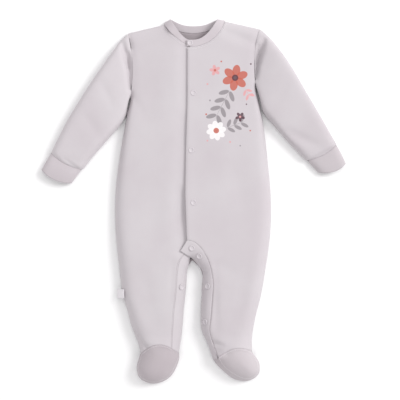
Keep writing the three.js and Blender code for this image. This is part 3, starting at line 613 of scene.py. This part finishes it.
FOLDS = (
    # armholes: a deep valley on the sleeve's side, narrower towards the underarm
    Fold(((-113, 250), (-104, 214)), 7.0, 4.6, "sleeve_right", 0.2),
    Fold(((-104, 234), (-100.5, 178)), 8.0, 3.8, "sleeve_right", 0.16),
    Fold(((112, 256), (102.5, 222)), 8.0, 4.2, "sleeve_left", 0.2),
    Fold(((104, 246), (98.8, 196)), 8.6, 3.6, "sleeve_left", 0.12),
    # the lap: the lower layer sinks beside the edge of the upper one
    Fold(((-16, 246), (-14, 96)), 0.9, 7.0, "front_right", 0.3),
    Fold(((-19, 130), (-18, -30)), 1.4, 10.0, "front_right", 0.3),
    Fold(((-20, 14), (-17, -64)), 2.6, 8.5, "front_right", 0.3),
    Fold(((-11.5, -63), (-22.5, -80)), 1.8, 1.9, "front_right", 0.3),
    Fold(((-8, 243), (-8, -56)), -0.6, 7.0, "front_left", 0.3),
    # shoulders and chest
    Fold(((-104, 250), (-48, 272)), 6.0, 13.0, "front_right", 0.35),
    Fold(((94, 252), (54, 270)), 2.2, 9.0, "front_left", 0.3),
    Fold(((-60, 190), (-72, 120)), 0.7, 12.0),
    Fold(((62, 60), (78, -10)), 0.7, 13.0),
    Fold(((-58, 20), (-66, -60)), 0.8, 14.0),
    # sleeves: the elbow's soft troughs and the fullness over the cuffs
    Fold(((-150, 196), (-128, 150)), 1.2, 8.0, "sleeve_right"),
    Fold(((-176, 140), (-150, 104)), 1.0, 9.0, "sleeve_right"),
    Fold(((-210, 72), (-182, 62)), 0.8, 5.0, "sleeve_right"),
    Fold(((-206, 67), (-186, 54)), 1.6, 3.0, "sleeve_right", 0.2),
    Fold(((146, 112), (198, 88)), 2.4, 8.0, "sleeve_left"),
    Fold(((150, 190), (128, 150)), 1.0, 9.0, "sleeve_left"),
    Fold(((186, 66), (224, 86)), 2.2, 3.2, "sleeve_left", 0.25),
    # legs
    Fold(((-33, -92), (-36, -160)), 0.9, 4.0),
    Fold(((34, -100), (36, -206)), 1.4, 5.0, "front_left"),
    Fold(BAND_SEAM_LEFT[1:-1], 1.0, 2.0, "front_left", 0.25),
    Fold(((-78, -120), (-60, -190)), 0.8, 10.0),
    Fold(((84, -110), (70, -190)), 0.8, 11.0),
    Fold(((-90, -211), (-83, -222), (-76, -231.5)), 2.8, 3.0, blunt=0.2),
    Fold(((-80, -233), (-60, -230)), 1.4, 4.0, "front_right"),
    Fold(((24, -223), (46, -229)), 3.2, 3.4, "front_left", 0.2),
    Fold(((34, -236), (46, -238)), 1.6, 3.0, "front_left"),
    # the caps' rolled edges under the ankle seams
    Fold(arch(*ARCH_RIGHT, 2.4), -0.8, 1.5, "foot_cap_right", 0.4),
    Fold(arch(*ARCH_LEFT, 2.4), -0.8, 1.5, "foot_cap_left", 0.4),
)


@dataclass(frozen=True)
class Tug:
    """A seam's short end pulled towards its neighbour, in millimetres, on the pieces named."""

    route: tuple[Point, ...]
    by: tuple[float, float, float]
    width: float
    cloths: tuple[str, ...]

    def shift(self, plan: np.ndarray) -> np.ndarray:
        """Works out each point's movement, in millimetres, from the points in plan."""
        return np.exp(-((beside(plan, self.route)[0] / self.width) ** 2))[:, None] * np.array(self.by)


# the band's low end and the sole's high corner close on each other inside the left ankle
TUGS = (
    Tug(((30.3, -250.8), (38, -248.2)), (0.7, -1.6, -2.4), 5.0, ("inseam_band_left", "back")),
    Tug(((31, -254.3), (40.4, -253.4)), (-0.6, 2.4, 1.6), 5.0, ("sole_left", "foot_cap_left")),
)


def lowering(plan: np.ndarray, cloth: str, unevenness: float = 0.5) -> np.ndarray:
    """Works out how far all the folds and a slight unevenness lower a piece of cloth.

    Args:
        plan: Points in plan, in millimetres, one row each.
        cloth: The piece's node.
        unevenness: The size of the slow waves, in millimetres.

    Returns:
        The depth at each point, in millimetres.
    """
    total = unevenness * np.array([noise.noise(Vector((x / WAVE_ACROSS, y / WAVE_ALONG, WAVE_START)))
                                   for x, y in plan])
    for fold in FOLDS:
        if fold.cloth in ("", cloth):
            total += fold.lowering(plan)
    return total


def coordinates(mesh: bpy.types.Mesh) -> np.ndarray:
    """Reads a mesh's points, one row each."""
    points = np.empty(len(mesh.vertices) * 3)
    mesh.vertices.foreach_get("co", points)
    return points.reshape(-1, 3)


@dataclass
class ClothPiece:
    """A cut piece of cloth: a fine shell on its solid's form, with its smaller folds.

    Its flat size is in metres and its area in square metres, for one layer. levels is how often the
    cage is divided, and reach is how many millimetres its rims may be drawn towards their neighbours.
    """

    node: str
    finish: Jersey
    slot: Slot
    flat: Point
    area: float
    rests_on: tuple[str, ...]
    sewn_to: tuple[str, ...] = ()
    held: str = "laid"
    levels: int = 2
    reach: float = 1.3
    # the wrong side's jersey, its colour darkened as painted shade, for the faces that look up
    shaded_wrong_side: Jersey | None = None
    shell: bpy.types.Object | None = field(default=None, init=False)

    def build(self) -> bpy.types.Object:
        """Makes the fine shell from the solid and lays its folds in it."""
        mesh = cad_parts[self.node].data.copy()
        cage = bmesh.new()
        cage.from_mesh(mesh)
        bmesh.ops.remove_doubles(cage, verts=cage.verts, dist=SAME_POINT)
        bmesh.ops.join_triangles(cage, faces=cage.faces, angle_face_threshold=FLAT_PAIR,
                                 angle_shape_threshold=SQUARE_PAIR)
        crease = cage.edges.layers.float.new("crease_edge")
        for edge in cage.edges:
            if len(edge.link_faces) == 2 and edge.calc_face_angle(0) > SHARP_EDGE:
                edge[crease] = CRISPNESS
        cage.to_mesh(mesh)
        cage.free()
        mesh.materials.clear()
        coarse = placed(f"{self.node}_coarse", mesh)
        smooth = coarse.modifiers.new("smooth", "SUBSURF")
        smooth.levels = smooth.render_levels = self.levels
        smooth.boundary_smooth = "PRESERVE_CORNERS"
        fine = baked(coarse, f"{self.node}_cloth")
        self._lay(fine)
        fine.shade_smooth()
        self.shell = placed(f"{self.node}_cloth", fine)
        return self.shell

    def _lay(self, mesh: bpy.types.Mesh) -> None:
        """Lowers the shell's upper layer by its folds, both of its faces alike, and pulls its tugs."""
        points = coordinates(mesh)
        facing = np.array([vertex.normal.z for vertex in mesh.vertices])
        height = points[:, 2] / MM + np.where(facing < 0, WALL, 0)
        lowest = points[:, 2].min()
        upper = np.clip((height - UPPER_LAYER) / UPPER_BLEND, 0, 1)
        upper = upper * upper * (3 - 2 * upper)
        room = ROOM_USED * np.maximum(height - LOWEST, 0)
        points[:, 2] -= np.minimum(lowering(points[:, :2] / MM, self.node), room) * upper * MM
        for tug in TUGS:
            if self.node in tug.cloths:
                points += tug.shift(points[:, :2] / MM) * MM
        points[:, 2] = np.maximum(points[:, 2], lowest)
        mesh.vertices.foreach_set("co", points.ravel())

    def meet(self, others: Sequence["ClothPiece"], gap: float = 0.04) -> np.ndarray:
        """Works out the shell's points with its rims drawn up to the pieces that it is sewn to.

        Args:
            others: The pieces sewn to this one.
            gap: What is left open at each side, in millimetres.

        Returns:
            The new points, one row each.
        """
        points = coordinates(self.shell.data)
        for other in others:
            surface = BVHTree.FromPolygons([v.co for v in other.shell.data.vertices],
                                           [p.vertices for p in other.shell.data.polygons])
            for k, vertex in enumerate(self.shell.data.vertices):
                near, _, _, distance = surface.find_nearest(vertex.co, min(self.reach, other.reach) * MM)
                if near is None:
                    continue
                across = near - vertex.co
                if distance > gap * MM and vertex.normal.dot(across) > SEAM_FACING * distance:
                    points[k] += np.array(across) * (0.5 - gap * MM / distance)
        return points

    def dress(self) -> None:
        """Gives the shell its finish and its place in the frame."""
        mesh = self.shell.data
        mesh.materials.append(self.finish.material())
        # the back's faces that look up, seen inside through the neck, take the wrong side's jersey, darker as
        # painted shade
        if self.shaded_wrong_side:
            mesh.materials.append(self.shaded_wrong_side.material())
            for face in mesh.polygons:
                face.material_index = int(face.normal.z > SHADED_WRONG_SIDE_FACING)
        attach(self.shell, "root")
        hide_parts(self.node)
        LOG.info("%s: %d faces", self.node, len(self.shell.data.polygons))


@dataclass
class SnapCap:
    """A snap's cap: a rounded ring round a recessed middle, in millimetres.

    Its profile runs from the middle outwards and down, as shares of the radius and as heights.
    """

    node: str
    finish: Lacquer
    cloth: str
    radius: float = 4.75
    sides: int = 40
    pressed_in: float = 0.45
    profile: tuple[Point, ...] = ((0.22, 0.34), (0.5, 0.36), (0.57, 0.62), (0.65, 1.02), (0.77, 1.2),
                                  (0.88, 1.1), (0.97, 0.74), (1.0, 0.3), (0.97, 0.0))
    shell: bpy.types.Object | None = field(default=None, init=False)

    def build(self) -> bpy.types.Object:
        """Spins the cap's section where its solid lies, square to the cloth under it."""
        solid = coordinates(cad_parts[self.node].data)
        middle = solid.mean(axis=0)
        up = Vector(np.linalg.svd(solid - middle, full_matrices=False)[2][2])
        up = up if up.z > 0 else -up
        base = min((Vector(c) - Vector(middle)).dot(up) for c in solid)
        turn = up.to_track_quat("Z", "Y").to_matrix()
        sunk = lowering(middle[None, :2] / MM, self.cloth)[0] + self.pressed_in
        place = Vector(middle) - Vector((0, 0, sunk * MM))
        cap = bmesh.new()
        poles = [cap.verts.new(turn @ Vector((0, 0, rise * MM + base)) + place)
                 for rise in (self.profile[0][1], self.profile[-1][1])]
        rows = []
        for k in range(self.sides):
            angle = 2 * math.pi * k / self.sides
            around = Vector((math.cos(angle), math.sin(angle), 0)) * self.radius * MM
            rows.append([cap.verts.new(turn @ (around * reach + Vector((0, 0, rise * MM + base))) + place)
                         for reach, rise in self.profile])
        for k, row in enumerate(rows):
            after = rows[(k + 1) % self.sides]
            for i in range(len(row) - 1):
                cap.faces.new((row[i], row[i + 1], after[i + 1], after[i]))
            cap.faces.new((poles[0], row[0], after[0]))
            cap.faces.new((poles[1], after[-1], row[-1]))
        bmesh.ops.recalc_face_normals(cap, faces=cap.faces)
        mesh = bpy.data.meshes.new(f"{self.node}_cap")
        cap.to_mesh(mesh)
        cap.free()
        mesh.shade_smooth()
        self.shell = placed(f"{self.node}_cap", mesh)
        return self.shell

    def dress(self) -> None:
        """Gives the cap its lacquer and its place in the frame."""
        self.shell.data.materials.append(shared(self.finish))
        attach(self.shell, "root")
        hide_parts(self.node)


def stitch_tree() -> bpy.types.NodeTree:
    """Builds the stitching: a thread's short capsules at even steps along a line.

    Returns:
        The geometry tree, with its sizes in metres as inputs.
    """
    group = bpy.data.node_groups.new("stitching", "GeometryNodeTree")
    kinds = {"Geometry": "Geometry", "Pitch": "Float", "Length": "Float", "Radius": "Float",
             "Unevenness": "Float", "Seed": "Int", "Thread": "Material"}
    for label, kind in kinds.items():
        group.interface.new_socket(label, in_out="INPUT", socket_type=f"NodeSocket{kind}")
    group.interface.new_socket("Geometry", in_out="OUTPUT", socket_type="NodeSocketGeometry")
    tree = Tree(group)
    given = tree.add("NodeGroupInput").outputs
    line = tree.add("GeometryNodeMeshToCurve", {"Mesh": given["Geometry"]})
    steps = tree.add("GeometryNodeResampleCurve", {"Curve": line.outputs[0], "Length": given["Pitch"]},
                     mode="LENGTH")
    capsule = tree.add("GeometryNodeMeshUVSphere", {"Segments": 8, "Rings": 6, "Radius": 1.0})
    tangent = tree.add("GeometryNodeInputTangent")
    turn = tree.add("FunctionNodeAlignRotationToVector", {"Vector": tangent.outputs[0]}, axis="X")
    low = tree.math("SUBTRACT", 1.0, given["Unevenness"])
    high = tree.math("ADD", 1.0, given["Unevenness"])
    chance = tree.add("FunctionNodeRandomValue", {2: low, 3: high, "Seed": given["Seed"]},
                      data_type="FLOAT")
    half = tree.math("MULTIPLY", tree.math("MULTIPLY", given["Length"], 0.5), chance.outputs[1])
    size = tree.add("ShaderNodeCombineXYZ", {0: half, 1: given["Radius"], 2: given["Radius"]})
    rows = tree.add("GeometryNodeInstanceOnPoints", {
        "Points": steps.outputs[0], "Instance": capsule.outputs["Mesh"],
        "Rotation": turn.outputs[0], "Scale": size.outputs[0]})
    real = tree.add("GeometryNodeRealizeInstances", {0: rows.outputs[0]})
    smooth = tree.add("GeometryNodeSetShadeSmooth", {"Geometry": real.outputs[0]})
    painted = tree.add("GeometryNodeSetMaterial", {"Geometry": smooth.outputs[0],
                                                   "Material": given["Thread"]})
    tree.add("NodeGroupOutput", {0: painted.outputs[0]})
    return group


def rounded(route: Sequence[Point], step: float = 1.0) -> np.ndarray:
    """Draws a smooth line through a route's points.

    Args:
        route: The points in plan, in millimetres.
        step: The distance between the line's points.

    Returns:
        The line's points, one row each.
    """
    points = np.array([route[0], *route, route[-1]], dtype=float)
    found = []
    for k in range(1, len(points) - 2):
        a, b, c, d = points[k - 1: k + 3]
        count = max(2, round(float(np.linalg.norm(c - b)) / step))
        for t in np.arange(count) / count:
            found.append(0.5 * (2 * b + (c - a) * t + (2 * a - 5 * b + 4 * c - d) * t**2
                                + (3 * b - a - 3 * c + d) * t**3))
    return np.array([*found, points[-1]])


@dataclass(frozen=True)
class StitchRow:
    """Rows of stitches along a route in plan, dropped on the cloth under it; sizes in millimetres."""

    name: str
    cloth: str
    route: tuple[Point, ...]
    thread: Thread
    offsets: tuple[float, ...] = (0.0,)
    pitch: float = 2.4
    length: float = 1.9
    radius: float = 0.24
    lift: float = 0.08
    unevenness: float = 0.1
    seed: int = 3

    def _lines(self, shell: bpy.types.Object) -> bpy.types.Mesh:
        """Drops the rows' lines straight down on the cloth, with a break wherever they miss it."""
        cover = bmesh.new()
        cover.from_mesh(shell.data)
        surface = BVHTree.FromBMesh(cover)
        line = bmesh.new()
        for offset in self.offsets:
            middle = rounded(self.route)
            run = np.gradient(middle, axis=0)
            run /= np.linalg.norm(run, axis=1)[:, None]
            before = None
            for x, y in middle + offset * np.column_stack((-run[:, 1], run[:, 0])):
                hit = surface.ray_cast(Vector((x * MM, y * MM, 1)), Vector((0, 0, -1)))[0]
                if hit is None:
                    before = None
                    continue
                corner = line.verts.new(hit + Vector((0, 0, self.lift * MM)))
                if before:
                    line.edges.new((before, corner))
                before = corner
        cover.free()
        mesh = bpy.data.meshes.new(f"{self.name}_line")
        line.to_mesh(mesh)
        line.free()
        return mesh

    def build(self, tree: bpy.types.NodeTree, shell: bpy.types.Object) -> bpy.types.Object:
        """Lays the stitches on their cloth.

        Args:
            tree: The stitching's geometry tree.
            shell: The cloth that the rows are sewn on.

        Returns:
            The stitches as one mesh object.
        """
        guide = placed(f"{self.name}_line", self._lines(shell))
        sewing = guide.modifiers.new("stitching", "NODES")
        sewing.node_group = tree
        named = {item.name: item.identifier for item in tree.interface.items_tree
                 if item.item_type == "SOCKET" and item.in_out == "INPUT"}
        values = {"Pitch": self.pitch * MM, "Length": self.length * MM, "Radius": self.radius * MM,
                  "Unevenness": self.unevenness, "Seed": self.seed, "Thread": shared(self.thread)}
        for label, value in values.items():
            sewing[named[label]] = value
        guide.update_tag()
        bpy.context.view_layer.update()
        made = placed(self.name, baked(guide, self.name))
        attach(made, "root")
        LOG.info("%s: %d faces", self.name, len(made.data.polygons))
        return made


@dataclass(frozen=True)
class Lamp:
    """A round soft light that shines at the garment's middle, in metres and watts."""

    name: str
    place: tuple[float, float, float]
    size: float
    power: float

    def build(self) -> None:
        """Makes the light and turns it to the middle."""
        lamp = bpy.data.lights.new(self.name, "AREA")
        lamp.shape, lamp.size, lamp.energy = "DISK", self.size, self.power
        light = placed(self.name, lamp)
        light.location = self.place
        light.rotation_euler = (-Vector(self.place)).to_track_quat("-Z", "Y").to_euler()


@dataclass(frozen=True)
class Studio:
    """The pale floor, the soft lights and the camera straight above the garment, in metres."""

    floor_half: float = 3.0
    paper: Colour = (0.93, 0.93, 0.93, 1)
    paper_roughness: float = 0.9
    sky: Colour = (1.0, 0.99, 1.0, 1)
    sky_strength: float = 0.82
    lamps: tuple[Lamp, ...] = (
        Lamp("key", (2.5, 1.2, 2.3), 1.5, 66.0),
        Lamp("top", (0.0, 1.0, 2.8), 1.6, 9.0),
    )
    camera: tuple[float, float, float] = (0.0102, 0.0018, 2.512)
    width_seen: float = 0.64
    sensor: float = 36.0

    def build(self) -> None:
        """Sets the floor, the world, the lights and the camera."""
        half = self.floor_half
        mesh = bpy.data.meshes.new("floor")
        mesh.from_pydata([(-half, -half, 0), (half, -half, 0), (half, half, 0), (-half, half, 0)], [],
                         [(0, 1, 2, 3)])
        floor = placed("floor", mesh)
        paper, tree, shader = new_material("floor_paper")
        tree.feed(shader, {"Base Color": self.paper, "Roughness": self.paper_roughness})
        mesh.materials.append(paper)
        world = bpy.data.worlds.new("studio")
        bpy.context.scene.world = world
        world.use_nodes = True
        sky = world.node_tree.nodes["Background"]
        Tree(world.node_tree).feed(sky, {0: self.sky, 1: self.sky_strength})
        for lamp in self.lamps:
            lamp.build()
        lens = bpy.data.cameras.new("camera")
        lens.sensor_width, lens.lens = self.sensor, self.sensor * self.camera[2] / self.width_seen
        camera = placed("camera", lens)
        camera.location = self.camera
        bpy.context.scene.camera = camera
        bpy.context.scene.view_settings.view_transform = "Standard"


def stitch_rows() -> list[StitchRow]:
    """Lists the rows of stitches with the cloth that each is sewn on."""
    shaded = Thread("thread_shaded", linear(180, 171, 175))
    # pale thread: real stitching at the neck, and on the ankle arches and the feet's rims also painted
    # highlights along the caps' rolled edges
    light = Thread("thread_pale_and_highlight", linear(232, 227, 230))
    arch_right, arch_left = arch(*ARCH_RIGHT), arch(*ARCH_LEFT)
    return [
        StitchRow("stitches_neck_left", "front_left", NECK_LEFT, light, (-1.9, -4.4), radius=0.34, seed=3),
        StitchRow("stitches_neck_right", "front_right", NECK_RIGHT, light, (-1.9, -4.4), radius=0.34, seed=5),
        StitchRow("stitches_band_left", "front_left", BAND_SEAM_LEFT, shaded, (1.8,), seed=7),
        StitchRow("stitches_band_right", "front_right", BAND_SEAM_RIGHT, shaded, (-1.8,), seed=11),
        # these pale rows are stitching and also painted highlights along the caps' rolled edges
        StitchRow("stitches_arch_right", "foot_cap_right", arch_right, light, (-2.4,), radius=0.42, seed=13),
        StitchRow("stitches_arch_left", "foot_cap_left", arch_left, light, (2.4,), radius=0.42, seed=17),
        StitchRow("stitches_rim_right", "foot_cap_right", RIM_RIGHT, light, (2.0,), radius=0.42, seed=19),
        StitchRow("stitches_rim_left", "foot_cap_left", RIM_LEFT, light, (2.0,), radius=0.42, seed=23),
    ]


def cloth_pieces() -> list[ClothPiece]:
    """Lists the cut pieces with their finishes, their sizes, what they rest on and are sewn to.

    Those at the right armhole, cuff and arch and inside the left ankle reach further, to close the
    slits that would show at their seams.

    Returns:
        The pieces, the lowest layer first.
    """
    body = Jersey("jersey_body", **BODY)
    printed = Jersey("jersey_print", **BODY, chest_print=ChestPrint())
    # the sleeves are one cloth with the body: the right sleeve's jersey is lighter as painted light, the
    # left's darker as painted shade
    sleeve_r = Jersey("jersey_sleeve_right_lit", linear(204, 199, 202), linear(198, 191, 195), turn=-33)
    sleeve_l = Jersey("jersey_sleeve_left_shaded", linear(196, 191, 194), linear(190, 183, 187), turn=34)
    cuff_r = Jersey("rib_cuff_right", **BANDING, turn=-33)
    # the left cuff's rib is darker than the right one's as painted shade
    cuff_l = Jersey("rib_cuff_left_shaded", **{**BANDING, "colour": linear(185, 179, 182)}, turn=34)
    neck = Jersey("rib_neck", **BANDING)
    jersey, band = Slot.JERSEY, Slot.BAND
    # the wrong side's own finer knit, its colour much darker than the body as painted shade inside the back
    inside = Jersey("jersey_shaded_wrong_side", linear(168, 159, 163), linear(158, 149, 153), wale=0.9, course=0.7)
    # both feet are one cloth with the body, their jerseys darker as painted shade, the right foot more
    foot_r = Jersey("jersey_foot_right_shaded", linear(184, 176, 180), linear(177, 168, 172))
    foot_l = Jersey("jersey_foot_left_shaded", linear(194, 187, 190), linear(186, 178, 182))
    tape = Jersey("label_tape", linear(232, 228, 231), linear(224, 219, 223), wale=0.5, course=0.5,
                  relief=0.05, nap=0.03, roughness=0.7)
    right, left = "front_right", "front_left"
    return [
        ClothPiece("back", body, jersey, (0.252, 0.54), 0.107, ("floor",),
                   (right, left, "sleeve_right", "sleeve_left", "neckband", "inseam_band_right",
                    "inseam_band_left", "sole_right", "sole_left"), shaded_wrong_side=inside),
        ClothPiece(right, body, jersey, (0.14, 0.54), 0.058, ("back_cloth",),
                   ("back", "sleeve_right", "neckband", "inseam_band_right", "foot_cap_right"), reach=2.4),
        ClothPiece(left, printed, jersey, (0.14, 0.54), 0.058, ("front_right_cloth", "back_cloth"),
                   ("back", "sleeve_left", "neckband", "inseam_band_left", "foot_cap_left")),
        ClothPiece("inseam_band_right", body, jersey, (0.022, 0.16), 0.0035, ("back_cloth",),
                   (right, "back", "foot_cap_right")),
        ClothPiece("inseam_band_left", body, jersey, (0.022, 0.22), 0.0045,
                   ("front_right_cloth", "back_cloth"), (left, "back", "foot_cap_left", "sole_left"),
                   reach=6.0),
        ClothPiece("sleeve_right", sleeve_r, jersey, (0.18, 0.2), 0.029, ("floor",),
                   (right, "back", "cuff_right"), reach=2.4),
        ClothPiece("sleeve_left", sleeve_l, jersey, (0.18, 0.2), 0.029, ("floor",),
                   (left, "back", "cuff_left")),
        ClothPiece("cuff_right", cuff_r, band, (0.12, 0.032), 0.0035, ("floor",), ("sleeve_right",),
                   reach=2.4),
        ClothPiece("cuff_left", cuff_l, band, (0.12, 0.032), 0.0035, ("floor",), ("sleeve_left",)),
        ClothPiece("neckband", neck, band, (0.26, 0.012), 0.0025, ("back_cloth",), (right, left, "back"),
                   held="stretched"),
        ClothPiece("foot_cap_right", foot_r, jersey, (0.08, 0.07), 0.0045, ("sole_right_cloth",),
                   (right, "inseam_band_right", "sole_right"), levels=3, reach=2.4),
        ClothPiece("sole_right", foot_r, jersey, (0.08, 0.06), 0.0034, ("floor",),
                   ("foot_cap_right", "back")),
        ClothPiece("foot_cap_left", foot_l, jersey, (0.08, 0.06), 0.0034, ("sole_left_cloth",),
                   (left, "inseam_band_left", "sole_left"), levels=3),
        ClothPiece("sole_left", foot_l, jersey, (0.08, 0.06), 0.0034, ("floor",),
                   ("foot_cap_left", "back", "inseam_band_left"), reach=6.0),
        ClothPiece("side_label", tape, Slot.LABEL, (0.015, 0.016), 0.0002, ("front_right_cloth",)),
    ]


def main() -> None:
    """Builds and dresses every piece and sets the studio."""
    logging.basicConfig(level=logging.INFO, format="%(message)s")
    Studio().build()
    cloth = cloth_pieces()
    named = {piece.node: piece for piece in cloth}
    for piece in cloth:
        piece.build()
    drawn = {piece.node: piece.meet([named[name] for name in piece.sewn_to]) for piece in cloth}
    for piece in cloth:
        piece.shell.data.vertices.foreach_set("co", drawn[piece.node].ravel())
        piece.shell.data.update()
        piece.dress()
    for name in (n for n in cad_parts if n.startswith("snap_")):
        cap = SnapCap(name, Lacquer(), "front_left")
        cap.build()
        cap.dress()
    tree = stitch_tree()
    sewn: dict[str, list] = {}
    for row in stitch_rows():
        sewn.setdefault(row.cloth, []).append(row.build(tree, named[row.cloth].shell))
    for piece in cloth:
        total = sum(p.area for p in piece.shell.data.polygons) / 2
        LOG.info("%s: %.5f m2 a layer, %.5f stated", piece.node, total, piece.area)


if __name__ == "__main__":
    main()
